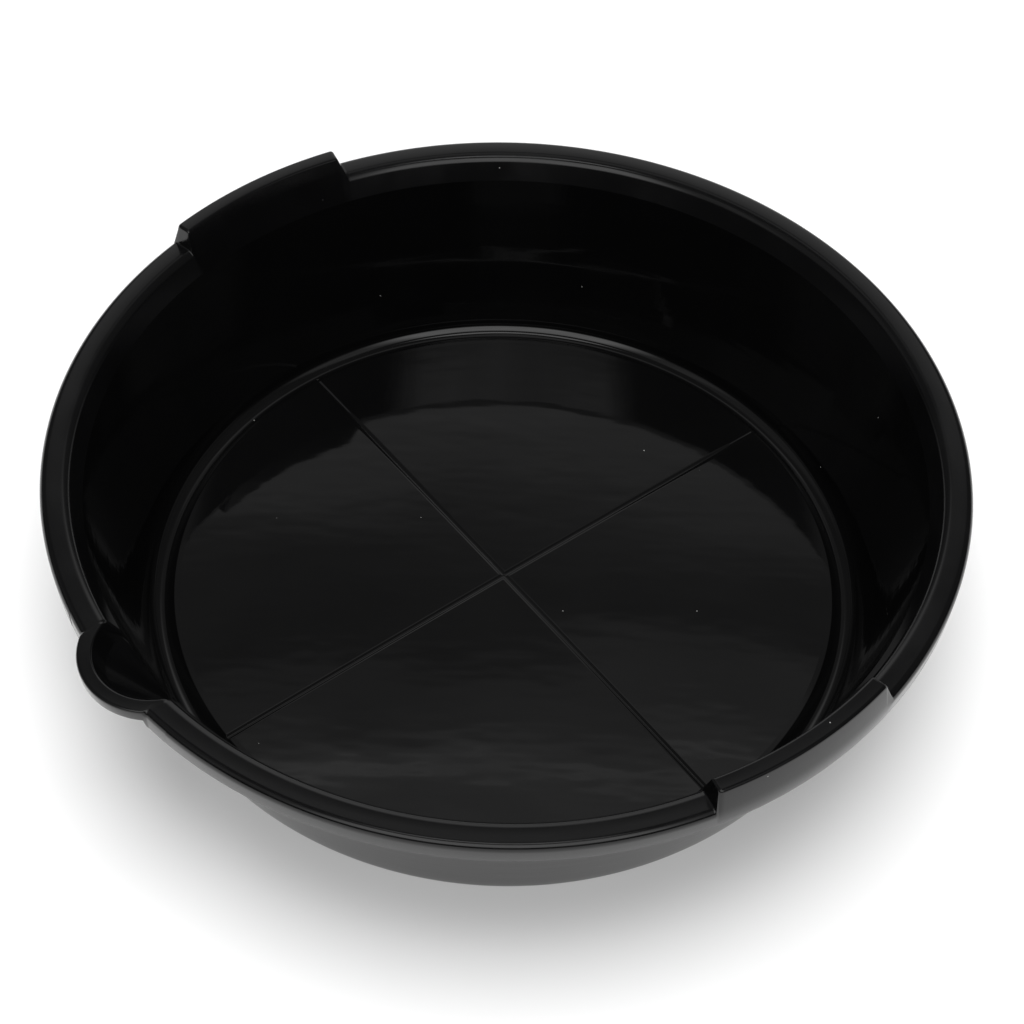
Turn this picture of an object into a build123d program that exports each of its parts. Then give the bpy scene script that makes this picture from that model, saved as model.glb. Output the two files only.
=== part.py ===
"""Round oil drain pan: one plastic moulding, drawn as the named regions that make it up.

Millimetres, +Z up. The origin is where the pan's round axis meets the ground.
The pour spout points along -Y, and the two raised grips lie on -X and +X.
Every region meets its neighbours face to face, so together they are the whole moulding.
"""

from build123d import *
import math
import os

# Driving dimensions
RIM_RADIUS = 215.0          # outside of the rolled rim
RIM_TOP = 100.0             # crown of the rim above the ground
GRIP_TOP = 111.0            # flat top of a raised grip
FLOOR_RADIUS = 161.0        # edge of the raised floor
FLOOR_TOP = 7.0             # edge of the raised floor above the ground
SKIN = 2.8                  # thickness of the floor, the foot and the rim
WALL_ACROSS = 3.0           # thickness of the sloping wall, measured level

# The inside of the wall: two straight slopes that meet at a faint line
FOOT_RADIUS = 173.1         # where the foot's fillet ends and the wall starts
FOOT_HEIGHT = 8.6
BREAK_RADIUS = 196.4        # where the wall starts to flare towards the rim
BREAK_HEIGHT = 88.4
MOUTH_RADIUS = 200.8        # inner edge of the rim
MOUTH_HEIGHT = 97.0

# The rolled rim: a crown with a skirt that hangs outside the wall
CROWN_INNER_RADIUS = 205.7
CROWN_FLANK = 3.5           # size of the crown's outer rounding
SKIRT_TAPER = 0.6           # how far the skirt leans in at its lower edge, level with the faint line
SKIRT_SKIN = 2.6            # thickness of the skirt

# The raised grips
GRIP_HALF_ANGLE = 13.7      # half of a grip's length along the rim, in degrees
GRIP_FRONT_RAMP = 2.0       # how far the end towards the spout leans, at the top
GRIP_REAR_RAMP = 5.5        # how far the end away from the spout leans, at the top
GRIP_INNER_RADIUS = 205.1   # inner edge of the grip's flat top
GRIP_OUTER_RADIUS = 212.6   # outer edge of the grip's flat top
GRIP_EDGE = 2.5             # rounding of that outer edge

# The pour spout: a half-round bulge with a flat lip, and a funnel that runs down into the wall
SPOUT_AZIMUTH = 270.0
SPOUT_CENTRE = 191.8        # distance of the bulge's centre from the pan's axis
SPOUT_MOUTH = 27.2          # radius of the bulge at the lip's top
SPOUT_THROAT = 22.6         # radius of the bulge where the funnel starts
SPOUT_LIP = 34.0            # outer radius of the lip
LIP_EDGE = 1.5              # rounding of the lip's outer edge
SPOUT_SKIRT_BOTTOM = 93.0
SPOUT_HALF_ANGLE = 10.5     # how much of the rim the spout's region takes each way, in degrees
FUNNEL_FOOT_RADIUS = 184.9  # where the funnel's inside runs out, just inside the wall
FUNNEL_FOOT_HEIGHT = 52.0
FUNNEL_FOOT_DROP = 6.0      # how much lower the funnel's outside runs out
FUNNEL_TIP = 0.4            # radius that stands for the funnel's pointed end

# The floor: crowned a little, with two shallow drain channels that cross at the centre
FLOOR_CROWN = 1.5           # rise of the floor's centre above its edge
FLOOR_JOINT = 158.5         # radius where the floor's region meets the foot's
CHANNEL_WIDTH = 3.6
CHANNEL_FLAT = 0.8          # width of a channel's flat bottom
CHANNEL_DEPTH = 0.45
MOAT_RADIUS = 165.9         # foot of the slope down from the floor's edge
MOAT_FILLET = 7.0           # between the moat's bottom and the wall
FOOT_FILLET = 9.0           # between the ground and the outside of the wall
FOOT_INNER_RADIUS = 159.9   # inner edge of the ring that the pan stands on
STEP_ROUNDING = 0.9         # on the edge of the raised floor

REACH = 400.0               # longer than anything, for cutting tools

WALL_SLOPE = (BREAK_RADIUS - FOOT_RADIUS) / (BREAK_HEIGHT - FOOT_HEIGHT)
FLARE_SLOPE = (MOUTH_RADIUS - BREAK_RADIUS) / (MOUTH_HEIGHT - BREAK_HEIGHT)
GRIP_SLOPE = (GRIP_INNER_RADIUS - BREAK_RADIUS) / (GRIP_TOP - BREAK_HEIGHT)
MOUTH_TOP_RADIUS = MOUTH_RADIUS + (RIM_TOP - MOUTH_HEIGHT) * FLARE_SLOPE
CROWN_ROUNDING = (CROWN_INNER_RADIUS - MOUTH_TOP_RADIUS) / math.tan(math.atan2(1, FLARE_SLOPE) / 2)


def wall_radius(height):
    """Inside radius of the lower wall at a height, on its straight line."""
    return BREAK_RADIUS + (height - BREAK_HEIGHT) * WALL_SLOPE


def section(corners, roundings=()):
    """A face in the XZ plane from (radius, height) corners. Each rounding is (corner's number, radius)."""
    face = make_face(Polyline(*corners, close=True))
    for number, radius in roundings:
        corner = Vector(*corners[number])
        nearest = min(face.vertices(), key=lambda v: (Vector(v.X, v.Y) - corner).length)
        face = fillet(nearest, radius)
    return Plane.XZ * face


def turned(face, start=0.0, span=360.0):
    """The solid that a section sweeps about the pan's axis, from an azimuth, through an angle in degrees."""
    return Rot(0, 0, start) * revolve(face, Axis.Z, revolution_arc=span)


def crowned(height_at_edge, radius):
    """Height at a radius of a surface that rises evenly from the floor's edge to its centre."""
    return height_at_edge + FLOOR_CROWN * (1 - radius / FLOOR_RADIUS)


def channel_tools():
    """What the crossing drain channels take out of the floor: four arms that slope down from its centre."""
    bottom = crowned(FLOOR_TOP, 0) - CHANNEL_DEPTH
    top = crowned(FLOOR_TOP, 0) + CHANNEL_DEPTH
    wide = CHANNEL_WIDTH - CHANNEL_FLAT / 2
    profile = make_face(
        Polyline(
            (-CHANNEL_FLAT / 2, bottom),
            (CHANNEL_FLAT / 2, bottom),
            (wide, top),
            (-wide, top),
            close=True,
        )
    )
    downhill = Vector(FLOOR_RADIUS, 0, -FLOOR_CROWN)
    arm = extrude(Plane.YZ * profile, MOAT_RADIUS + CHANNEL_DEPTH, dir=downhill)
    return [Rot(0, 0, azimuth) * arm for azimuth in (0, 90, 180, 270)]


def floor():
    """The raised floor: a thin disc that rises a little to its centre, with the drain channels."""
    corners = [
        (0, crowned(FLOOR_TOP - SKIN, 0)),
        (0, crowned(FLOOR_TOP, 0)),
        (FLOOR_JOINT, crowned(FLOOR_TOP, FLOOR_JOINT)),
        (FLOOR_JOINT, crowned(FLOOR_TOP - SKIN, FLOOR_JOINT)),
    ]
    disc = turned(section(corners))
    for arm in channel_tools():
        disc -= arm
    return disc


def foot_ring():
    """The moat round the floor, and under it the ring that the pan stands on."""
    corners = [
        (FLOOR_JOINT, crowned(FLOOR_TOP - SKIN, FLOOR_JOINT)),
        (FLOOR_JOINT, crowned(FLOOR_TOP, FLOOR_JOINT)),
        (FLOOR_RADIUS, FLOOR_TOP),
        (MOAT_RADIUS, SKIN),
        (wall_radius(SKIN), SKIN),
        (wall_radius(FOOT_HEIGHT + SKIN), FOOT_HEIGHT + SKIN),
        (wall_radius(FOOT_HEIGHT + SKIN) + WALL_ACROSS, FOOT_HEIGHT + SKIN),
        (wall_radius(0) + WALL_ACROSS, 0),
        (FOOT_INNER_RADIUS, 0),
    ]
    ring = turned(section(corners, [(7, FOOT_FILLET), (4, MOAT_FILLET), (2, STEP_ROUNDING)]))
    for arm in channel_tools():
        ring -= arm
    return ring


def funnel(mouth_radius, foot_height):
    """A slanted half-cone's full cone: round at the spout's throat, and pointed just inside the wall."""
    throat = Pos(0, -SPOUT_CENTRE, BREAK_HEIGHT) * Circle(mouth_radius)
    point = Pos(0, -FUNNEL_FOOT_RADIUS, foot_height) * Circle(FUNNEL_TIP)
    return loft([point, throat], ruled=True)


def basin():
    """All that lies inside the wall's inner face, and above the rim's crown. It trims the spout."""
    corners = [
        (0, FOOT_HEIGHT),
        (FOOT_RADIUS, FOOT_HEIGHT),
        (BREAK_RADIUS, BREAK_HEIGHT),
        (MOUTH_TOP_RADIUS, RIM_TOP),
        (REACH, RIM_TOP),
        (REACH, GRIP_TOP),
        (0, GRIP_TOP),
    ]
    return turned(section(corners, [(3, CROWN_ROUNDING)]))


def side_wall():
    """The sloping wall from the foot ring to the faint line under the rim, open where the funnel runs."""
    low = FOOT_HEIGHT + SKIN
    outer_foot_height = FUNNEL_FOOT_HEIGHT - FUNNEL_FOOT_DROP
    corners = [
        (wall_radius(low), low),
        (BREAK_RADIUS, BREAK_HEIGHT),
        (BREAK_RADIUS + WALL_ACROSS, BREAK_HEIGHT),
        (wall_radius(low) + WALL_ACROSS, low),
    ]
    return turned(section(corners)) - funnel(SPOUT_THROAT + SKIN, outer_foot_height)


def rim_envelope(start, span):
    """A length of the rim with the space under its crown filled."""
    corners = [
        (BREAK_RADIUS, BREAK_HEIGHT),
        (MOUTH_TOP_RADIUS, RIM_TOP),
        (RIM_RADIUS, RIM_TOP),
        (RIM_RADIUS, RIM_TOP - CROWN_FLANK - SKIRT_TAPER),
        (RIM_RADIUS - SKIRT_TAPER, BREAK_HEIGHT),
    ]
    return turned(section(corners, [(1, CROWN_ROUNDING), (2, CROWN_FLANK)]), start, span)


def rim_hollow(start, span):
    """The space under the crown, between the flared band and the skirt, open downwards."""
    under = RIM_TOP - SKIN
    corners = [
        (BREAK_RADIUS + WALL_ACROSS, BREAK_HEIGHT),
        (BREAK_RADIUS + WALL_ACROSS + (under - BREAK_HEIGHT) * FLARE_SLOPE, under),
        (RIM_RADIUS - SKIRT_SKIN, under),
        (RIM_RADIUS - SKIRT_TAPER - SKIRT_SKIN, BREAK_HEIGHT),
    ]
    return turned(section(corners), start, span)


def rolled_rim(start, span):
    """A length of the rim: the flared band, the rounded crown and the skirt that hangs outside."""
    return rim_envelope(start, span) - rim_hollow(start, span)


def end_trim(azimuth, side, lean, inset):
    """What a grip's sloping end takes away, at its end of greater azimuth (side +1) or the other (-1)."""
    outward = Vector(1, 0, 0).rotate(Axis.Z, azimuth)
    along = Vector(0, side, 0).rotate(Axis.Z, azimuth)
    top = GRIP_TOP + SKIN
    profile = make_face(
        Polyline(
            (-inset, MOUTH_HEIGHT - inset),
            (-inset - lean * (top - MOUTH_HEIGHT) / (GRIP_TOP - MOUTH_HEIGHT), top),
            (SKIN, top),
            (SKIN, MOUTH_HEIGHT - inset),
            close=True,
        )
    )
    return extrude(Plane((0, 0, 0), x_dir=along, z_dir=outward * side) * profile, REACH, both=True)


def grip(azimuth, front_side):
    """A raised length of the rim, hollow underneath for the fingers.

    front_side is +1 if the end that faces the spout is the one of greater azimuth, and otherwise -1.
    """
    start = azimuth - GRIP_HALF_ANGLE
    span = 2 * GRIP_HALF_ANGLE
    under = GRIP_TOP - SKIN
    outside = [
        (BREAK_RADIUS, BREAK_HEIGHT),
        (GRIP_INNER_RADIUS, GRIP_TOP),
        (GRIP_OUTER_RADIUS, GRIP_TOP),
        (RIM_RADIUS, RIM_TOP - CROWN_FLANK - SKIRT_TAPER),
        (RIM_RADIUS - SKIRT_TAPER, BREAK_HEIGHT),
    ]
    inside = [
        (BREAK_RADIUS + WALL_ACROSS, BREAK_HEIGHT),
        (BREAK_RADIUS + WALL_ACROSS + (under - BREAK_HEIGHT) * GRIP_SLOPE, under),
        (GRIP_OUTER_RADIUS - SKIRT_SKIN, under),
        (RIM_RADIUS - SKIRT_SKIN, RIM_TOP - CROWN_FLANK - SKIRT_TAPER),
        (RIM_RADIUS - SKIRT_TAPER - SKIRT_SKIN, BREAK_HEIGHT),
    ]
    raised = turned(section(outside, [(2, GRIP_EDGE)]), start, span)
    hollow = turned(section(inside), start, span)
    for side in (1, -1):
        lean = GRIP_FRONT_RAMP if side == front_side else GRIP_REAR_RAMP
        end = azimuth + side * GRIP_HALF_ANGLE
        raised -= end_trim(end, side, lean, 0)
        hollow -= end_trim(end, side, lean, SKIN)
    return raised + rim_envelope(start, span) - hollow - rim_hollow(start, span)


def spout_cone(low_radius, high_radius, low, high):
    """An upright cone about the spout's centre, between two heights."""
    centre = Pos(0, -SPOUT_CENTRE, low)
    return centre * Cone(low_radius, high_radius, high - low, align=(Align.CENTER, Align.CENTER, Align.MIN))


def spout_post(radius, low, high):
    """An upright cylinder about the spout's centre, between two heights."""
    centre = Pos(0, -SPOUT_CENTRE, low)
    return centre * Cylinder(radius, high - low, align=(Align.CENTER, Align.CENTER, Align.MIN))


def pour_spout():
    """The half-round spout: a flat lip with a short skirt, a flared throat, and the funnel in the wall."""
    start = SPOUT_AZIMUTH - SPOUT_HALF_ANGLE
    span = 2 * SPOUT_HALF_ANGLE
    under = RIM_TOP - SKIN
    throat_growth = (SPOUT_MOUTH - SPOUT_THROAT) / (RIM_TOP - BREAK_HEIGHT)
    throat_under = SPOUT_THROAT + SKIN + throat_growth * (under - BREAK_HEIGHT)

    lip = spout_post(SPOUT_LIP, SPOUT_SKIRT_BOTTOM, RIM_TOP)
    lip = fillet(lip.edges().group_by(Axis.Z)[-1], LIP_EDGE)
    lip_hollow = spout_post(SPOUT_LIP - SKIRT_SKIN, BREAK_HEIGHT - SKIN, under)
    shell = spout_cone(SPOUT_THROAT + SKIN, throat_under, BREAK_HEIGHT, under)
    shell += funnel(SPOUT_THROAT + SKIN, FUNNEL_FOOT_HEIGHT - FUNNEL_FOOT_DROP)
    band = [
        (BREAK_RADIUS, BREAK_HEIGHT),
        (BREAK_RADIUS + (under - BREAK_HEIGHT) * FLARE_SLOPE, under),
        (BREAK_RADIUS + (under - BREAK_HEIGHT) * FLARE_SLOPE + WALL_ACROSS, under),
        (BREAK_RADIUS + WALL_ACROSS, BREAK_HEIGHT),
    ]
    body = rim_envelope(start, span) + (lip - basin())
    body -= rim_hollow(start, span)
    body -= lip_hollow
    body += turned(section(band), start, span)
    body += shell - basin()
    body -= spout_cone(SPOUT_THROAT, SPOUT_MOUTH + throat_growth * SKIN, BREAK_HEIGHT, RIM_TOP + SKIN)
    return body - funnel(SPOUT_THROAT, FUNNEL_FOOT_HEIGHT)


def build():
    """Every region by name."""
    rear_end = 180 - GRIP_HALF_ANGLE
    front_span = SPOUT_AZIMUTH - SPOUT_HALF_ANGLE - 180 - GRIP_HALF_ANGLE
    return {
        "floor": floor(),
        "foot_ring": foot_ring(),
        "side_wall": side_wall(),
        "rim_rear": rolled_rim(GRIP_HALF_ANGLE, rear_end - GRIP_HALF_ANGLE),
        "rim_front_left": rolled_rim(180 + GRIP_HALF_ANGLE, front_span),
        "rim_front_right": rolled_rim(SPOUT_AZIMUTH + SPOUT_HALF_ANGLE, front_span),
        "grip_left": grip(180, 1),
        "grip_right": grip(0, -1),
        "pour_spout": pour_spout(),
    }


os.makedirs("parts", exist_ok=True)
for name, solid in build().items():
    export_step(solid, f"parts/{name}.step")
    print(name, "solids", len(solid.solids()), "volume", round(solid.volume))
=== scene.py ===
import math

import bmesh
import bpy
from mathutils import Euler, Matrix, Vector


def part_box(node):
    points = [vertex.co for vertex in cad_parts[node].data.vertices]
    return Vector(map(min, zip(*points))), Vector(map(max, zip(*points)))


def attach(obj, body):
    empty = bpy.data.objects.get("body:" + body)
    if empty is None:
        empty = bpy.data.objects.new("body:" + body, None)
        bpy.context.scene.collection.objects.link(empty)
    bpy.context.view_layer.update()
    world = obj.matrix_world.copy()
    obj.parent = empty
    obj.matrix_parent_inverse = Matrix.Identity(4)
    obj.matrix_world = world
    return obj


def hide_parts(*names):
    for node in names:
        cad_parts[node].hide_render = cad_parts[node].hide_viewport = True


# The looks of the round oil drain pan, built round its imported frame. The pan is one moulding, so each
# piece here is one region of it and stands for the CAD node of that region. Outlines are worked out
# in millimetres about the pan's round axis, and every mesh is made in metres.

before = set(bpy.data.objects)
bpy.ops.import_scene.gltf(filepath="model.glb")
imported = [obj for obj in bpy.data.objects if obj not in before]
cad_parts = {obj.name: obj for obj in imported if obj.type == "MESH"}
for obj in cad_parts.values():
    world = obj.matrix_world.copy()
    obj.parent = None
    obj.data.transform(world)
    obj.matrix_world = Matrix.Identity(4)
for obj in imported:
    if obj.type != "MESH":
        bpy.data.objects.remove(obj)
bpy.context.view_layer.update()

MM = 0.001


def corners_of(node):
    """A CAD node's lowest and highest corners, in millimetres."""
    low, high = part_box(node)
    return low / MM, high / MM


# Sizes that the frame gives
RIM_RADIUS = corners_of("rim_rear")[1].y
RIM_TOP = corners_of("rim_rear")[1].z
GRIP_TOP = corners_of("grip_left")[1].z
BREAK_HEIGHT = corners_of("side_wall")[1].z
RING_TOP = corners_of("side_wall")[0].z
FLOOR_JOINT = corners_of("floor")[1].x
FLOOR_PEAK = corners_of("floor")[1].z
SPOUT_REACH = -corners_of("pour_spout")[0].y
FUNNEL_OUTER_FOOT = corners_of("pour_spout")[0].z

# The view
CAMERA_AZIMUTH = 51.2       # degrees that the view is turned about the pan from looking along +Y

# The moulding's thickness
SKIN = 2.8
WALL_ACROSS = 3.0
SKIRT_SKIN = 2.6
SKIRT_TAPER = 0.6

# The floor and the foot
FLOOR_CROWN = 1.5
FLOOR_TOP = FLOOR_PEAK - FLOOR_CROWN
FLOOR_RADIUS = 161.0
MOAT_RADIUS = 165.9
FOOT_INNER_RADIUS = 159.9
MOAT_REACH = 5.25           # how far the moat's fillet reaches from its corner
FOOT_REACH = 6.8            # the same, on the outside
CHANNEL_DEPTH = 0.45
CHANNEL_FLAT = 0.4          # half of the channel's flat bottom
CHANNEL_HALF = 1.8          # half of the channel's width
CHANNEL_LINES = (0, 0.24, 0.45, 0.7, 0.95, 1.2, 1.5, 1.8, 2.1, 2.6)
QUADRANT_PILLOW = (0.40, 0.12, 0.35, 0.35)   # extra rise in the middle of each quadrant

# The wall
BREAK_RADIUS = 196.4
WALL_SLOPE = 0.292
FLARE_SLOPE = 0.5116
MOUTH_TOP_RADIUS = BREAK_RADIUS + (RIM_TOP - BREAK_HEIGHT) * FLARE_SLOPE
MOUTH_REACH = 3.4           # rounding of the mouth's edge
CROWN_REACH = 3.5           # rounding of the crown's outer edge

# The grips
GRIP_HALF_ANGLE = 13.7
GRIP_INNER_RADIUS = 205.1
GRIP_OUTER_RADIUS = 212.6
GRIP_SHOULDER = 95.9        # height where the grip's outer side meets the skirt
GRIP_END_ROUNDING = 3.0     # rounding of the grip's top in plan, at its ends
FRONT_RAMP = (0.9, 2.3)     # where the end towards the spout starts and stops rising
REAR_RAMP = (1.3, 5.6)

# The spout
SPOUT_AZIMUTH = 270.0
SPOUT_HALF_ANGLE = 10.5
SPOUT_LIP = 34.0
SPOUT_CENTRE = SPOUT_REACH - SPOUT_LIP
SPOUT_MOUTH = 27.2
SPOUT_THROAT = 22.6
SPOUT_SKIRT_BOTTOM = 93.0
FUNNEL_FOOT_RADIUS = 184.9
FUNNEL_FOOT_HEIGHT = 52.0
FUNNEL_TIP = 0.4
LIP_REACH = 1.5
CORNER_BLEND = 3.2          # rounding of the upright corners where the throat meets the wall
CREASE_BLEND = 0.5          # rounding of the crease where the funnel meets the wall

# Mesh steps
TURN_STEP = 0.5             # degrees
FINE_STEP = 0.1             # degrees, where the spout meets the rim
THIN_STEP = 0.04            # degrees, the first and last column of a region
SHARP_ANGLE = 38.0          # edges bent more than this stay sharp
FLOOR_STEPS = 44            # across a quadrant of the floor
WALL_ROWS = 12
FUNNEL_ROWS = 16


def mix(a, b, share):
    return a + (b - a) * share


def smooth_step(low, high, value):
    share = min(max((value - low) / (high - low), 0), 1)
    return share * share * (3 - 2 * share)


def smooth_max(a, b, blend):
    """The larger of two values, rounded over where they are within blend of each other."""
    overlap = max(blend - abs(a - b), 0)
    return max(a, b) + overlap * overlap / (4 * blend)


def evenly(start, stop, step):
    """Values from start to stop, both included, no further apart than step."""
    count = max(1, math.ceil((stop - start) / step - 1e-9))
    return [start + (stop - start) * n / count for n in range(count + 1)]


def region_azimuths(start, stop):
    """Columns of a region of the rim, with a thin one at each end, so that the shading runs on."""
    return [start, *evenly(start + THIN_STEP, stop - THIN_STEP, TURN_STEP), stop]


def outline(corners):
    """Points along (radius, height) corners. Each corner is (radius, height, reach, steps): its rounding
    starts reach away from it and has that many steps, as an arc or, on a flat corner, a straight line."""
    points = []
    for number, (radius, height, reach, steps) in enumerate(corners):
        here = Vector((radius, height))
        if steps == 0:
            points.append(here)
            continue
        back = (Vector(corners[number - 1][:2]) - here).normalized()
        ahead = (Vector(corners[(number + 1) % len(corners)][:2]) - here).normalized()
        start, end = here + back * reach, here + ahead * reach
        weight = math.sqrt(max((1 - back.dot(ahead)) / 2, 0))
        for step in range(steps + 1):
            t = step / steps
            a, b, c = (1 - t) ** 2, 2 * t * (1 - t) * weight, t**2
            points.append((start * a + here * b + end * c) / (a + b + c))
    return points


def place(radius, azimuth, height):
    turn = math.radians(azimuth)
    return Vector((radius * math.cos(turn), radius * math.sin(turn), height))


def finished_piece(name, vertices, faces, material, node):
    """A mesh object in metres that rides on the pan's body and stands for one CAD node."""
    mesh = bpy.data.meshes.new(name)
    mesh.from_pydata([v * MM for v in vertices], [], faces)
    shape = bmesh.new()
    shape.from_mesh(mesh)
    bmesh.ops.remove_doubles(shape, verts=shape.verts, dist=2e-6)
    bmesh.ops.dissolve_degenerate(shape, edges=shape.edges, dist=1e-7)
    bmesh.ops.recalc_face_normals(shape, faces=shape.faces)
    shape.to_mesh(mesh)
    shape.free()
    mesh.shade_smooth()
    mesh.set_sharp_from_angle(angle=math.radians(SHARP_ANGLE))
    mesh.materials.append(material)
    piece = bpy.data.objects.new(name, mesh)
    bpy.context.scene.collection.objects.link(piece)
    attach(piece, "root")
    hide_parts(node)
    return piece


def swept_piece(name, columns, closed, material, node):
    """A piece from closed loops of points, one at each column. It closes on itself or has flat ends."""
    size = len(columns[0])
    vertices = [point for column in columns for point in column]
    faces = []
    for number in range(len(columns) if closed else len(columns) - 1):
        here, there = number * size, (number + 1) % len(columns) * size
        for row in range(size):
            up = (row + 1) % size
            faces.append((here + row, here + up, there + up, there + row))
    if not closed:
        faces.append(tuple(range(size)))
        faces.append(tuple(range(len(vertices) - size, len(vertices))))
    return finished_piece(name, vertices, faces, material, node)


# The wall and the spout as formulas


def wall_radius(height):
    """Inside of the lower wall at a height."""
    return BREAK_RADIUS + (height - BREAK_HEIGHT) * WALL_SLOPE


def band_radius(height):
    """Inside of the flared band between the break and the rim's crown."""
    return BREAK_RADIUS + (height - BREAK_HEIGHT) * FLARE_SLOPE


def lobe(radius, centre, delta):
    """Distance from the pan's axis to the far side of a circle that is centred on the spout's line."""
    aside = centre * math.sin(math.radians(delta))
    if abs(aside) >= radius:
        return 0
    return centre * math.cos(math.radians(delta)) + math.sqrt(radius**2 - aside**2)


def funnel_radius(delta, height, skin, foot):
    """The funnel's own surface below the break, skin outside its inner one."""
    share = (height - foot) / (BREAK_HEIGHT - foot)
    if share <= 0:
        return 0
    radius = mix(FUNNEL_TIP, SPOUT_THROAT + skin, share)
    return lobe(radius, mix(FUNNEL_FOOT_RADIUS, SPOUT_CENTRE, share), delta)


def throat_radius(delta, height, skin):
    """The throat's own surface above the break, skin outside its inner one."""
    growth = (SPOUT_MOUTH - SPOUT_THROAT) / (RIM_TOP - BREAK_HEIGHT)
    return lobe(SPOUT_THROAT + skin + growth * (height - BREAK_HEIGHT), SPOUT_CENTRE, delta)


def inside_radius(delta, height):
    """The pan's inner surface near the spout, from the foot ring to the rim's crown."""
    if height >= BREAK_HEIGHT:
        return smooth_max(band_radius(height), throat_radius(delta, height, 0), CORNER_BLEND)
    blend = mix(CREASE_BLEND, CORNER_BLEND, smooth_step(BREAK_HEIGHT - 6, BREAK_HEIGHT, height))
    return smooth_max(wall_radius(height), funnel_radius(delta, height, 0, FUNNEL_FOOT_HEIGHT), blend)


def outside_radius(delta, height):
    """The outer surface of the wall, the funnel and the throat."""
    if height >= BREAK_HEIGHT:
        return smooth_max(band_radius(height) + WALL_ACROSS, throat_radius(delta, height, SKIN), CORNER_BLEND)
    funnel = funnel_radius(delta, height, SKIN, FUNNEL_OUTER_FOOT)
    return smooth_max(wall_radius(height) + WALL_ACROSS, funnel, CORNER_BLEND)


def crease_height(delta, skin, across, foot):
    """Height where the funnel runs out into the wall at an angle from the spout's middle."""
    low, high = foot, BREAK_HEIGHT
    if funnel_radius(delta, high, skin, foot) <= wall_radius(high) + across:
        return BREAK_HEIGHT
    for _ in range(40):
        middle = (low + high) / 2
        if funnel_radius(delta, middle, skin, foot) > wall_radius(middle) + across:
            high = middle
        else:
            low = middle
    return high


def spout_deltas():
    """Angles from the spout's middle, close together where it meets the rim."""
    half = [
        *evenly(0, 6.2, 0.2)[:-1],
        *evenly(6.2, 8.2, FINE_STEP)[:-1],
        *evenly(8.2, SPOUT_HALF_ANGLE - THIN_STEP, 0.25),
        SPOUT_HALF_ANGLE,
    ]
    return [-d for d in reversed(half[1:])] + half


# The floor


def channel_drop(aside):
    """How far a drain channel lies below the floor, at a distance from its middle line."""
    return CHANNEL_DEPTH * (1 - smooth_step(CHANNEL_FLAT * 0.6, CHANNEL_HALF, abs(aside)))


def floor_height(x, y):
    """The floor's top: crowned, a little pillowed in each quadrant, and lower in the drain channels."""
    share = min(math.hypot(x, y) / FLOOR_RADIUS, 1)
    crown = FLOOR_TOP + FLOOR_CROWN * (1 - share**2)
    quadrant = int(math.degrees(math.atan2(y, x)) // 90) % 4
    across = math.sin(2 * math.atan2(y, x)) ** 2
    pillow = QUADRANT_PILLOW[quadrant] * across * (6.75 * share**2 * (1 - share))
    drop = max(channel_drop(x), channel_drop(y))
    return crown + pillow - drop


def quadrant_point(u, v):
    """A point of the floor's first quadrant, on a patch whose lines run along the channels and the edge."""
    edge = CHANNEL_LINES[-1]
    far = math.sqrt(FLOOR_JOINT**2 - edge**2)
    low_turn = math.asin(edge / FLOOR_JOINT)
    turn_u, turn_v = mix(low_turn, math.pi / 4, u), mix(low_turn, math.pi / 4, v)
    near_corner, middle = Vector((edge, edge)), Vector((1, 1)) * FLOOR_JOINT / math.sqrt(2)
    right, top = Vector((far, edge)), Vector((edge, far))
    along_bottom = near_corner.lerp(right, u)
    along_left = near_corner.lerp(top, v)
    along_top = Vector((math.sin(turn_u), math.cos(turn_u))) * FLOOR_JOINT
    along_right = Vector((math.cos(turn_v), math.sin(turn_v))) * FLOOR_JOINT
    sides = along_bottom * (1 - v) + along_top * v + along_left * (1 - u) + along_right * u
    bilinear = near_corner.lerp(right, u).lerp(top.lerp(middle, u), v)
    return sides - bilinear


def floor_point(i, j):
    """A point of the floor's mesh. i and j count lines from the middle, first across the channel."""
    last = len(CHANNEL_LINES) - 1
    u, v = max(abs(i) - last, 0) / FLOOR_STEPS, max(abs(j) - last, 0) / FLOOR_STEPS
    if abs(i) <= last and abs(j) <= last:
        x, y = CHANNEL_LINES[abs(i)], CHANNEL_LINES[abs(j)]
    elif abs(j) <= last:
        y = CHANNEL_LINES[abs(j)]
        x = mix(CHANNEL_LINES[-1], math.sqrt(FLOOR_JOINT**2 - y**2), u)
    elif abs(i) <= last:
        x = CHANNEL_LINES[abs(i)]
        y = mix(CHANNEL_LINES[-1], math.sqrt(FLOOR_JOINT**2 - x**2), v)
    else:
        x, y = quadrant_point(u, v)
    x, y = math.copysign(x, i), math.copysign(y, j)
    return Vector((x, y, floor_height(x, y)))


def make_floor(material):
    """The floor: its top, a short upright edge where it meets the foot ring, and its underside."""
    reach = len(CHANNEL_LINES) - 1 + FLOOR_STEPS
    side = 2 * reach + 1
    vertices = [floor_point(i, j) for j in range(-reach, reach + 1) for i in range(-reach, reach + 1)]
    faces = []
    for j in range(side - 1):
        for i in range(side - 1):
            here = j * side + i
            faces.append((here, here + 1, here + side + 1, here + side))
    border = list(range(side))
    border += [j * side + side - 1 for j in range(1, side)]
    border += [(side - 1) * side + i for i in range(side - 2, -1, -1)]
    border += [j * side for j in range(side - 2, 0, -1)]
    first = len(vertices)
    for corner in border:
        top = vertices[corner]
        vertices.append(Vector((top.x, top.y, FLOOR_TOP - SKIN)))
    vertices.append(Vector((0, 0, FLOOR_TOP - SKIN + FLOOR_CROWN)))
    for number, corner in enumerate(border):
        following = (number + 1) % len(border)
        faces.append((corner, first + number, first + following, border[following]))
        faces.append((first + number, len(vertices) - 1, first + following))
    return finished_piece("floor_panel", vertices, faces, material, "floor")


# The foot ring and the wall


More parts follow.
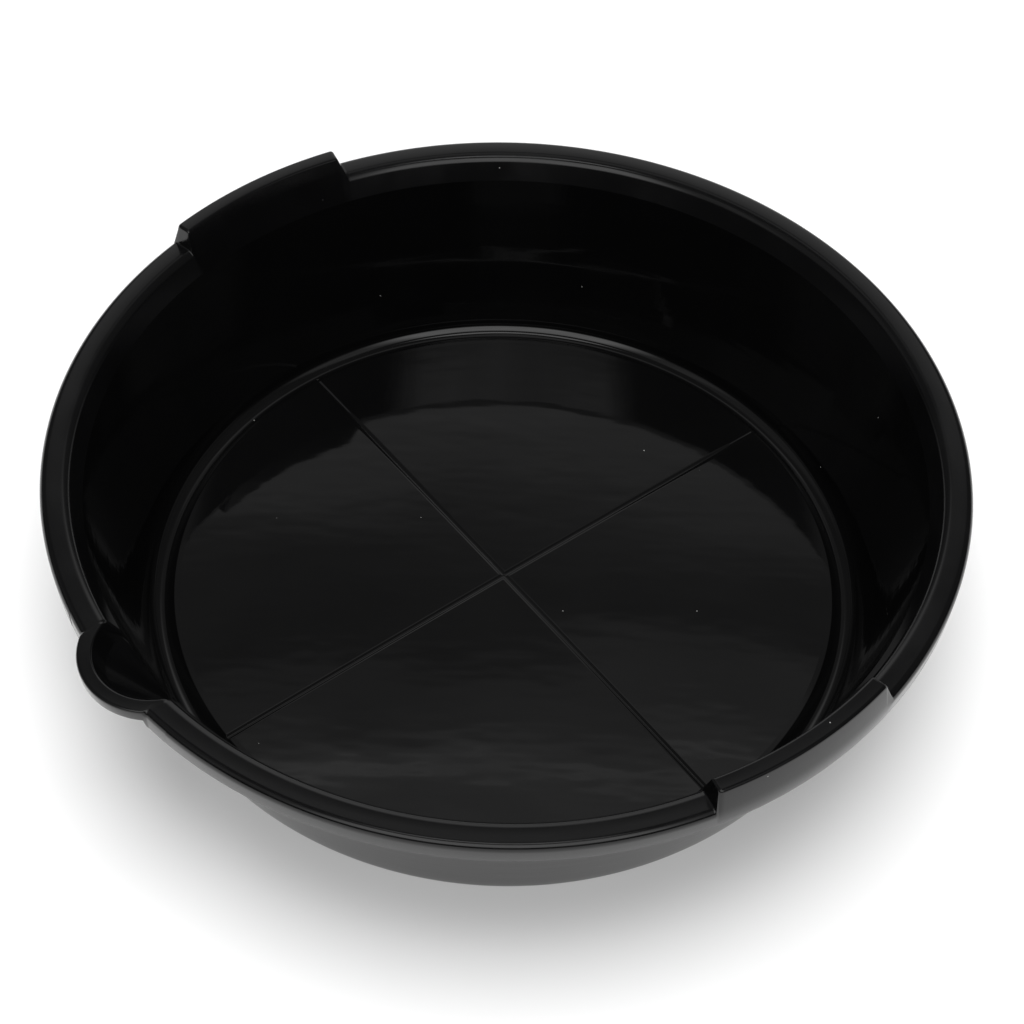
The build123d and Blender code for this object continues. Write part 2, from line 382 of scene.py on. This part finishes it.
def ring_azimuths():
    """Columns all the way round, close together where a drain channel reaches the moat."""
    near = [math.degrees(math.asin(line / FLOOR_RADIUS)) for line in CHANNEL_LINES]
    columns = []
    for quarter in range(4):
        columns += [90 * quarter + turn for turn in near]
        columns += [90 * quarter + turn for turn in evenly(near[-1], 90 - near[-1], TURN_STEP)[1:-1]]
        columns += [90 * quarter + 90 - turn for turn in reversed(near[1:])]
    return columns


def ring_loop(azimuth):
    """The foot ring's section at an azimuth: floor's edge, moat, wall's foot and underside."""
    loop = outline([
        (FLOOR_JOINT, FLOOR_TOP + 1, 0, 0),
        (FLOOR_RADIUS - 1.2, FLOOR_TOP + 1, 0, 0),
        (FLOOR_RADIUS, FLOOR_TOP, 0.7, 5),
        (MOAT_RADIUS, SKIN, 0.1, 1),
        (wall_radius(SKIN), SKIN, MOAT_REACH, 14),
        (wall_radius(RING_TOP), RING_TOP, 0, 0),
        (wall_radius(RING_TOP) + WALL_ACROSS, RING_TOP, 0, 0),
        (wall_radius(0) + WALL_ACROSS, 0, FOOT_REACH, 10),
        (FOOT_INNER_RADIUS, 0, 0.6, 3),
        (FLOOR_JOINT, FLOOR_TOP - SKIN, 0, 0),
    ])
    points = [place(radius, azimuth, height) for radius, height in loop]
    for point, (radius, height) in zip(points, loop):
        if height > SKIN * 2 and radius < FLOOR_RADIUS + 1:
            point.z = min(height, floor_height(point.x, point.y))
    return points


def make_foot_ring(material):
    columns = [ring_loop(azimuth) for azimuth in ring_azimuths()]
    return swept_piece("foot_and_moat", columns, True, material, "foot_ring")


def wall_loop(azimuth):
    """The wall's section at an azimuth. Its top edge dips where the funnel runs down through it."""
    delta = (azimuth - SPOUT_AZIMUTH + 180) % 360 - 180
    inner_top = crease_height(delta, 0, 0, FUNNEL_FOOT_HEIGHT)
    outer_top = crease_height(delta, SKIN, WALL_ACROSS, FUNNEL_OUTER_FOOT)
    shares = [row / WALL_ROWS for row in range(WALL_ROWS + 1)]
    inner = [(inside_radius(delta, z), z) for z in (mix(RING_TOP, inner_top, share) for share in shares)]
    outer = [(outside_radius(delta, z), z) for z in (mix(RING_TOP, outer_top, share) for share in shares)]
    return [place(radius, azimuth, z) for radius, z in inner + outer[::-1]]


def make_side_wall(material):
    turns = [SPOUT_AZIMUTH + delta for delta in spout_deltas()]
    turns += evenly(SPOUT_AZIMUTH + SPOUT_HALF_ANGLE, SPOUT_AZIMUTH + 360 - SPOUT_HALF_ANGLE, TURN_STEP)[1:-1]
    columns = [wall_loop(azimuth) for azimuth in turns]
    return swept_piece("sloping_wall", columns, True, material, "side_wall")


# The rim and its grips


def rim_loop(rise, under_rise, outer_inset, inner_inset):
    """Section of the rim where it has risen by a share of the way to a grip's top, with its hollow below."""
    under = mix(RIM_TOP, GRIP_TOP, under_rise) - SKIN
    inner_top = mix(MOUTH_TOP_RADIUS, GRIP_INNER_RADIUS, rise) + inner_inset
    outer_top = mix(RIM_RADIUS, GRIP_OUTER_RADIUS, rise) - outer_inset
    grip_slope = (GRIP_INNER_RADIUS - BREAK_RADIUS) / (GRIP_TOP - BREAK_HEIGHT)
    hollow_slope = mix(FLARE_SLOPE, grip_slope, under_rise)
    hollow_inner = BREAK_RADIUS + WALL_ACROSS + (under - BREAK_HEIGHT) * hollow_slope
    hollow_outer = mix(RIM_RADIUS, GRIP_OUTER_RADIUS, under_rise) - SKIRT_SKIN
    skirt = RIM_RADIUS - SKIRT_TAPER
    return outline([
        (BREAK_RADIUS, BREAK_HEIGHT, 0, 0),
        (inner_top, mix(RIM_TOP, GRIP_TOP, rise), mix(MOUTH_REACH, 1.1, rise), 10),
        (outer_top, mix(RIM_TOP, GRIP_TOP, rise), mix(CROWN_REACH, 1.5, rise), 10),
        (RIM_RADIUS, GRIP_SHOULDER, mix(0.3, 4.0, rise), 4),
        (skirt, BREAK_HEIGHT, 0.9, 4),
        (skirt - SKIRT_SKIN, BREAK_HEIGHT, 0.9, 4),
        (mix(RIM_RADIUS - SKIRT_SKIN, skirt - SKIRT_SKIN, 0.2), GRIP_SHOULDER, 0, 0),
        (hollow_outer, under, 0.8, 3),
        (hollow_inner, under, 0.8, 3),
        (BREAK_RADIUS + WALL_ACROSS, BREAK_HEIGHT, 0, 0),
    ])


def make_rim(name, start, stop, material):
    columns = [
        [place(radius, azimuth, z) for radius, z in rim_loop(0, 0, 0, 0)]
        for azimuth in region_azimuths(start, stop)
    ]
    return swept_piece(name + "_roll", columns, False, material, name)


def ramp_columns(ramp):
    """(distance from the grip's end, share of the rise) for the columns at one end of a grip."""
    start, stop = ramp
    rise = GRIP_TOP - RIM_TOP
    path = outline([
        (0, 0, 0, 0),
        (start, 0, 0.7, 5),
        (stop, rise, 1.3, 7),
        (stop + GRIP_END_ROUNDING, rise, 0, 0),
    ])
    flat = evenly(path[-2].x, path[-1].x, 0.3)[1:]
    return [(x, y / rise) for x, y in path[:-1]] + [(x, 1) for x in flat]


def plan_inset(distance, rounding):
    """How far a rounded corner in plan draws an edge in, at a distance from the end."""
    left = min(max(rounding - distance, 0), rounding)
    return rounding - math.sqrt(rounding**2 - left**2)


def grip_columns(azimuth, front_side):
    """Columns of a grip as (azimuth, distance from the nearer end, ramp, share of the rise)."""
    radius = (GRIP_INNER_RADIUS + GRIP_OUTER_RADIUS) / 2
    columns = []
    for side in (-1, 1):
        ramp = FRONT_RAMP if side == front_side else REAR_RAMP
        end = azimuth + side * GRIP_HALF_ANGLE
        for distance, rise in ramp_columns(ramp):
            columns.append((end - side * math.degrees(distance / radius), distance, ramp, rise))
    columns.sort(key=lambda column: column[0])
    split = len(ramp_columns(REAR_RAMP if front_side == 1 else FRONT_RAMP))
    low, high = columns[split - 1][0], columns[split][0]
    far = (GRIP_HALF_ANGLE * math.radians(radius), FRONT_RAMP, 1)
    middle = [(turn, *far) for turn in evenly(low, high, TURN_STEP)[1:-1]]
    return columns[:split] + middle + columns[split:]


def make_grip(name, azimuth, front_side, material):
    columns = []
    for turn, distance, ramp, rise in grip_columns(azimuth, front_side):
        under_rise = smooth_step(ramp[0], ramp[1], distance - SKIN)
        beyond = distance - (ramp[0] + ramp[1]) / 2
        outer_inset = plan_inset(beyond, GRIP_END_ROUNDING) * rise
        inner_inset = plan_inset(beyond, GRIP_END_ROUNDING / 2.5) * rise
        loop = rim_loop(rise, under_rise, outer_inset, inner_inset)
        columns.append([place(radius, turn, z) for radius, z in loop])
    return swept_piece(name + "_shell", columns, False, material, name)


# The pour spout


def spout_loop(delta):
    """The spout's section at an angle from its middle: funnel, throat, lip, skirt and outside."""
    mouth = smooth_max(MOUTH_TOP_RADIUS, lobe(SPOUT_MOUTH, SPOUT_CENTRE, delta), CORNER_BLEND)
    edge = smooth_max(RIM_RADIUS, lobe(SPOUT_LIP, SPOUT_CENTRE, delta), 1.2)
    opened = smooth_step(0.3, 2.2, mouth - MOUTH_TOP_RADIUS)
    lipped = smooth_step(0.2, 1.2, edge - RIM_RADIUS)
    under = RIM_TOP - SKIN
    skirt_bottom = mix(BREAK_HEIGHT, SPOUT_SKIRT_BOTTOM, lipped)
    inner_crease = crease_height(delta, 0, 0, FUNNEL_FOOT_HEIGHT)
    outer_crease = crease_height(delta, SKIN, WALL_ACROSS, FUNNEL_OUTER_FOOT)
    funnel_steps = range(FUNNEL_ROWS)
    funnel_in = [mix(inner_crease, BREAK_HEIGHT, step / FUNNEL_ROWS) for step in funnel_steps]
    funnel_out = [mix(outer_crease, BREAK_HEIGHT, step / FUNNEL_ROWS) for step in funnel_steps]
    upper = outline([
        (inside_radius(delta, BREAK_HEIGHT), BREAK_HEIGHT, 0, 0),
        (mouth, RIM_TOP, mix(MOUTH_REACH, 1.0, opened), 10),
        (edge, RIM_TOP, mix(CROWN_REACH, LIP_REACH, lipped), 10),
        (edge - SKIRT_TAPER, skirt_bottom, 0.9, 4),
        (edge - SKIRT_TAPER - SKIRT_SKIN, skirt_bottom, 0.9, 4),
        (edge - SKIRT_SKIN, under, 0.5, 3),
        (outside_radius(delta, under), under, 0.5, 3),
        (outside_radius(delta, BREAK_HEIGHT), BREAK_HEIGHT, 0, 0),
    ])
    inner = [(inside_radius(delta, z), z) for z in funnel_in]
    outer = [(outside_radius(delta, z), z) for z in reversed(funnel_out)]
    return inner + [tuple(point) for point in upper] + outer


def make_spout(material):
    columns = [
        [place(radius, SPOUT_AZIMUTH + delta, z) for radius, z in spout_loop(delta)]
        for delta in spout_deltas()
    ]
    return swept_piece("pour_spout_shell", columns, False, material, "pour_spout")


# Materials

MIX_FIRST, MIX_SECOND, MIX_RESULT = 6, 7, 2     # a Mix node's sockets for colours
DUST = (0.35, 0.35, 0.34, 1)


class Nodes:
    """A short way to write a material's node tree."""

    def __init__(self, owner):
        owner.use_nodes = True
        self.tree = owner.node_tree
        self.tree.nodes.clear()

    def add(self, kind, links=(), **settings):
        """A node. settings are its properties, and links are (input's name or number, value or socket)."""
        node = self.tree.nodes.new(kind)
        for key, value in settings.items():
            setattr(node, key, value)
        for socket, value in links:
            if isinstance(value, bpy.types.NodeSocket):
                self.tree.links.new(value, node.inputs[socket])
            else:
                node.inputs[socket].default_value = value
        return node

    def math(self, operation, a, b=0.0, clamp=False):
        return self.add("ShaderNodeMath", [(0, a), (1, b)], operation=operation, use_clamp=clamp).outputs[0]

    def mix_colours(self, share, first, second):
        """One colour where share is 0 and the other where it is 1, each a value or a socket."""
        links = [(0, share), (MIX_FIRST, first), (MIX_SECOND, second)]
        return self.add("ShaderNodeMix", links, data_type="RGBA").outputs[MIX_RESULT]

    def ramp(self, value, low, high):
        """0 below low, 1 above high, and smooth between."""
        links = [("Value", value), ("From Min", low), ("From Max", high)]
        node = self.add("ShaderNodeMapRange", links, interpolation_type="SMOOTHSTEP")
        return node.outputs["Result"]

    def noise(self, where, scale, detail=2.0, stretch=(1, 1, 1), roughness=0.5):
        mapped = self.add("ShaderNodeMapping", [("Vector", where), ("Scale", stretch)]).outputs[0]
        links = [("Vector", mapped), ("Scale", scale), ("Detail", detail), ("Roughness", roughness)]
        return self.add("ShaderNodeTexNoise", links).outputs["Fac"]


# Each quadrant of the floor leans and bends along the camera's line of sight. These values were fitted
# to the gloss that one view shows, and they are bump, not shape.
QUADRANT_LEAN = (
    # (side of the channel along Y, side of the channel along X, lean in degrees, bend in degrees per metre)
    (1, 1, -0.1, 9.0),
    (-1, 1, 0.1, 2.0),
    (-1, -1, 0.35, 4.0),
    (1, -1, 0.1, 5.0),
)


def floor_relief(nodes, where):
    """Unevenness of the floor in metres: each quadrant leans a little and has long shallow streaks."""
    turned = nodes.add(
        "ShaderNodeMapping", [("Vector", where), ("Rotation", (0, 0, -math.radians(CAMERA_AZIMUTH)))]
    ).outputs[0]
    own = nodes.add("ShaderNodeSeparateXYZ", [(0, where)])
    seen = nodes.add("ShaderNodeSeparateXYZ", [(0, turned)])
    height = nodes.math("MULTIPLY", nodes.noise(turned, 26, 3.0, (0.35, 1, 1), 0.6), 0.0002)
    away = seen.outputs[1]
    for side_x, side_y, lean, bend in QUADRANT_LEAN:
        right = nodes.math("GREATER_THAN", nodes.math("MULTIPLY", own.outputs[0], side_x), 0.0)
        above = nodes.math("GREATER_THAN", nodes.math("MULTIPLY", own.outputs[1], side_y), 0.0)
        slope = nodes.math("MULTIPLY", away, -math.tan(math.radians(lean)))
        curve = nodes.math("MULTIPLY", nodes.math("MULTIPLY", away, away), -math.radians(bend) / 2)
        rise = nodes.math("MULTIPLY", nodes.math("MULTIPLY", right, above), nodes.math("ADD", slope, curve))
        height = nodes.math("ADD", height, rise)
    return height


def round_the_wall(nodes, where):
    """(degrees from straight away from the camera, height in millimetres) of a point on the wall."""
    turned = nodes.add(
        "ShaderNodeMapping", [("Vector", where), ("Rotation", (0, 0, -math.radians(CAMERA_AZIMUTH)))]
    ).outputs[0]
    parts = nodes.add("ShaderNodeSeparateXYZ", [(0, turned)]).outputs
    turn = nodes.math("DEGREES", nodes.math("ARCTAN2", parts[0], parts[1]))
    return turn, nodes.math("MULTIPLY", parts[2], 1 / MM)


def wall_streaks(nodes, where):
    """Unevenness of the wall in metres: shallow streaks that run up it."""
    turn, height = round_the_wall(nodes, where)
    spot = nodes.add("ShaderNodeCombineXYZ", [(0, turn), (1, height)]).outputs[0]
    streaks = nodes.noise(spot, 1.0, 3.0, (0.35, 0.012, 1), 0.6)
    bands = nodes.noise(spot, 1.0, 2.0, (0.02, 0.09, 1), 0.5)
    low = nodes.math("MULTIPLY", streaks, 0.00005)
    return nodes.math("ADD", low, nodes.math("MULTIPLY", bands, 0.00008))


def plastic(name, shade, roughness, wave, peel, specular=0.5, relief=None):
    """Moulded black plastic. wave and peel are the heights in metres of its long and fine unevenness."""
    material = bpy.data.materials.new(name)
    nodes = Nodes(material)
    where = nodes.add("ShaderNodeTexCoord").outputs["Object"]

    waves = nodes.noise(where, 22, 1.5)
    ripples = nodes.noise(where, 90, 2.0)
    peeled = nodes.noise(where, 700, 1.0)
    smudge = nodes.noise(where, 30, 4.0)
    fine = nodes.noise(where, 900, 2.0)

    cells = nodes.add(
        "ShaderNodeTexVoronoi", [("Vector", where), ("Scale", 260.0), ("Randomness", 1.0)]
    )
    rare = nodes.math("GREATER_THAN", nodes.add(
        "ShaderNodeSeparateColor", [("Color", cells.outputs["Color"])]
    ).outputs[0], 0.985)
    round_spot = nodes.math("SUBTRACT", 1.0, nodes.ramp(cells.outputs["Distance"], 0.04, 0.09))
    speck = nodes.math("MULTIPLY", rare, round_spot)

    tone = nodes.mix_colours(smudge, (*shade, 1), (*[c * 1.6 for c in shade], 1))
    colour = nodes.mix_colours(speck, tone, DUST)

    uneven = nodes.math("MULTIPLY", nodes.ramp(smudge, 0.35, 0.7), roughness * 0.5)
    grain = nodes.math("MULTIPLY", fine, roughness * 0.3)
    rough = nodes.math("ADD", nodes.math("ADD", uneven, roughness * 0.6), grain)
    rough = nodes.math("ADD", rough, nodes.math("MULTIPLY", speck, 0.5), clamp=True)

    long_bump = nodes.add("ShaderNodeBump", [("Strength", 1.0), ("Distance", wave), ("Height", waves)])
    if relief:
        lean = nodes.add(
            "ShaderNodeBump", [("Strength", 1.0), ("Distance", 1.0), ("Height", relief(nodes, where))]
        )
        nodes.tree.links.new(lean.outputs[0], long_bump.inputs["Normal"])
    mid_bump = nodes.add(
        "ShaderNodeBump",
        [("Strength", 1.0), ("Distance", wave * 0.12), ("Height", ripples), ("Normal", long_bump.outputs[0])],
    )
    fine_bump = nodes.add(
        "ShaderNodeBump",
        [("Strength", 1.0), ("Distance", peel), ("Height", peeled), ("Normal", mid_bump.outputs[0])],
    )
    shader = nodes.add(
        "ShaderNodeBsdfPrincipled",
        [
            ("Base Color", colour),
            ("Roughness", rough),
            ("IOR", 1.5),
            ("Specular IOR Level", specular),
            ("Normal", fine_bump.outputs[0]),
        ],
    )
    nodes.add("ShaderNodeOutputMaterial", [("Surface", shader.outputs[0])])
    return material


def floor_material():
    material = bpy.data.materials.new("studio_floor")
    nodes = Nodes(material)
    where = nodes.add("ShaderNodeTexCoord").outputs["Object"]
    clouds = nodes.noise(where, 2.5, 3.0)
    tone = nodes.ramp(clouds, 0.0, 1.0)
    level = nodes.math("ADD", nodes.math("MULTIPLY", tone, 0.02), 0.66)
    colour = nodes.add("ShaderNodeCombineColor", [(0, level), (1, level), (2, level)])
    shader = nodes.add(
        "ShaderNodeBsdfPrincipled",
        [
            ("Base Color", colour.outputs[0]),
            ("Roughness", 0.9),
            ("Specular IOR Level", 0.0),
            ("Emission Color", (1, 1, 1, 1)),
            ("Emission Strength", 0.20),
        ],
    )
    nodes.add("ShaderNodeOutputMaterial", [("Surface", shader.outputs[0])])
    return material


# Camera, floor and light

PAN_RADIUS = RIM_RADIUS * MM
CAMERA_TILT = 39.92         # degrees from looking straight down
CAMERA_ROLL = 2.06
CAMERA_PLACE = (0.013, -3.591, 4.105)   # aside, back and up from the mouth's middle, in pan radii
CAMERA_LENS = 88.9


def make_camera():
    data = bpy.data.cameras.new("camera")
    data.lens = CAMERA_LENS
    data.sensor_width = 36
    data.clip_start, data.clip_end = 0.05, 50
    camera = bpy.data.objects.new("camera", data)
    bpy.context.scene.collection.objects.link(camera)
    mouth = Vector((0, 0, (RIM_TOP - 3) * MM))
    turn = Euler((0, 0, math.radians(CAMERA_AZIMUTH))).to_matrix()
    camera.location = mouth + turn @ Vector(CAMERA_PLACE) * PAN_RADIUS
    tilt = Euler((math.radians(CAMERA_TILT), 0, 0)).to_matrix()
    roll = Euler((0, 0, math.radians(CAMERA_ROLL))).to_matrix()
    camera.rotation_euler = (turn @ tilt @ roll).to_euler()
    bpy.context.scene.camera = camera


def make_stage():
    mesh = bpy.data.meshes.new("studio_floor")
    reach = 12
    corners = [(-reach, -reach, 0), (reach, -reach, 0), (reach, reach, 0), (-reach, reach, 0)]
    mesh.from_pydata(corners, [], [(0, 1, 2, 3)])
    mesh.materials.append(floor_material())
    floor = bpy.data.objects.new("studio_floor", mesh)
    floor.location.z = -0.0002
    bpy.context.scene.collection.objects.link(floor)


# The studio round the pan, as soft panels of light on a dim surround. Each is (azimuth, half width, side
# edge, lowest, highest, edge, brightness), in degrees. Azimuth 0 is straight away from the camera, and
# positive azimuths are to the picture's right. An edge is how far a panel takes to fade out.
DIM = 0.03                  # brightness of the surround
PANELS = (
    (0, 180, 1, 18, 95, 5, 0.05),           # the room's upper part
    (0, 28, 9, 18, 95, 5, 0.05),            # its far side
    (0, 28, 9, 54, 95, 0.8, 0.10),          # the ceiling
    (0, 28, 9, 57, 95, 0.5, 0.14),          # its brighter part
    (0, 22, 8, 58.0, 58.5, 0.25, 0.25),     # its lit edge
    (0, 50, 18, -95, 8, 6, 0.70),           # the pale sweep behind the pan
    (0, 20, 5, 12, 44, 7, 0.64),            # its upper part, straight behind
    (180, 38, 10, 22, 60, 5, 1.80),         # the main panel, behind the camera
    (180, 60, 12, 73, 83, 3, 1.90),         # the panel above the camera
    (-95, 28, 12, 18, 60, 6, 0.10),         # the room's left side
    (126, 14, 6, 25, 60, 5, 0.30),          # a side panel
    (-126, 14, 6, 25, 60, 5, 0.20),         # a weaker one on the other side
)
CLOUD_DEPTH = 0.5           # how uneven the panels and the surround are


def panel_light(nodes, direction, up, panel):
    """How brightly one soft panel shines in each direction."""
    azimuth, half_width, side_edge, lowest, highest, edge, level = panel
    turn = [("Vector", direction), ("Rotation", (0, 0, math.radians(azimuth - CAMERA_AZIMUTH)))]
    turned = nodes.add("ShaderNodeMapping", turn).outputs[0]
    parts = nodes.add("ShaderNodeSeparateXYZ", [(0, turned)])
    aside = nodes.math("ABSOLUTE", nodes.math("ARCTAN2", parts.outputs[0], parts.outputs[1]))
    aside = nodes.math("DEGREES", aside)
    above = nodes.ramp(up, lowest - edge, lowest + edge)
    below = nodes.math("SUBTRACT", 1.0, nodes.ramp(up, highest - edge, highest + edge))
    inside = nodes.math("SUBTRACT", 1.0, nodes.ramp(aside, half_width - side_edge, half_width + side_edge))
    shape = nodes.math("MULTIPLY", nodes.math("MULTIPLY", above, below), inside)
    return nodes.math("MULTIPLY", shape, level)


def make_world():
    world = bpy.data.worlds.new("studio")
    bpy.context.scene.world = world
    nodes = Nodes(world)
    direction = nodes.add("ShaderNodeTexCoord").outputs["Generated"]
    height = nodes.add("ShaderNodeSeparateXYZ", [(0, direction)]).outputs[2]
    up = nodes.math("DEGREES", nodes.math("ARCSINE", height))
    light = DIM
    for panel in PANELS:
        light = nodes.math("ADD", light, panel_light(nodes, direction, up, panel))
    clouds = nodes.noise(direction, 5, 3.0, (1, 1, 5), 0.6)
    uneven = nodes.math("ADD", nodes.math("MULTIPLY", clouds, 2 * CLOUD_DEPTH), 1 - CLOUD_DEPTH)
    light = nodes.math("MULTIPLY", light, uneven)
    background = nodes.add("ShaderNodeBackground", [("Color", light), ("Strength", 1.0)])
    nodes.add("ShaderNodeOutputWorld", [("Surface", background.outputs[0])])


def make_lights():
    data = bpy.data.lights.new("overhead", "AREA")
    data.shape = "DISK"
    data.size = 3.0
    data.energy = 132
    light = bpy.data.objects.new("overhead", data)
    light.location = (0, 0, 3.2)
    light.visible_glossy = False
    bpy.context.scene.collection.objects.link(light)


make_camera()
make_stage()
make_world()
make_lights()

GLOSS_SHADE = (0.0012, 0.0012, 0.00125)
SATIN_SHADE = (0.0016, 0.0016, 0.0017)
GLOSSY = plastic("glossy_black_plastic", GLOSS_SHADE, 0.06, 0.00006, 0.0000012)
FLOOR_GLOSS = plastic(
    "floor_glossy_plastic", GLOSS_SHADE, 0.05, 0.00003, 0.000001, relief=floor_relief
)
WALL_GLOSS = plastic(
    "wall_glossy_plastic", GLOSS_SHADE, 0.06, 0.00003, 0.000001, relief=wall_streaks
)
SATIN = plastic("satin_black_plastic", SATIN_SHADE, 0.16, 0.00004, 0.000002, specular=0.42)

make_floor(FLOOR_GLOSS)
make_foot_ring(GLOSSY)
make_side_wall(WALL_GLOSS)
make_spout(SATIN)
SPOUT_START, SPOUT_STOP = SPOUT_AZIMUTH - SPOUT_HALF_ANGLE, SPOUT_AZIMUTH + SPOUT_HALF_ANGLE
make_rim("rim_rear", GRIP_HALF_ANGLE, 180 - GRIP_HALF_ANGLE, SATIN)
make_rim("rim_front_left", 180 + GRIP_HALF_ANGLE, SPOUT_START, SATIN)
make_rim("rim_front_right", SPOUT_STOP, 360 - GRIP_HALF_ANGLE, SATIN)
make_grip("grip_left", 180, 1, SATIN)
make_grip("grip_right", 0, -1, SATIN)

bpy.context.scene.view_settings.view_transform = "Standard"
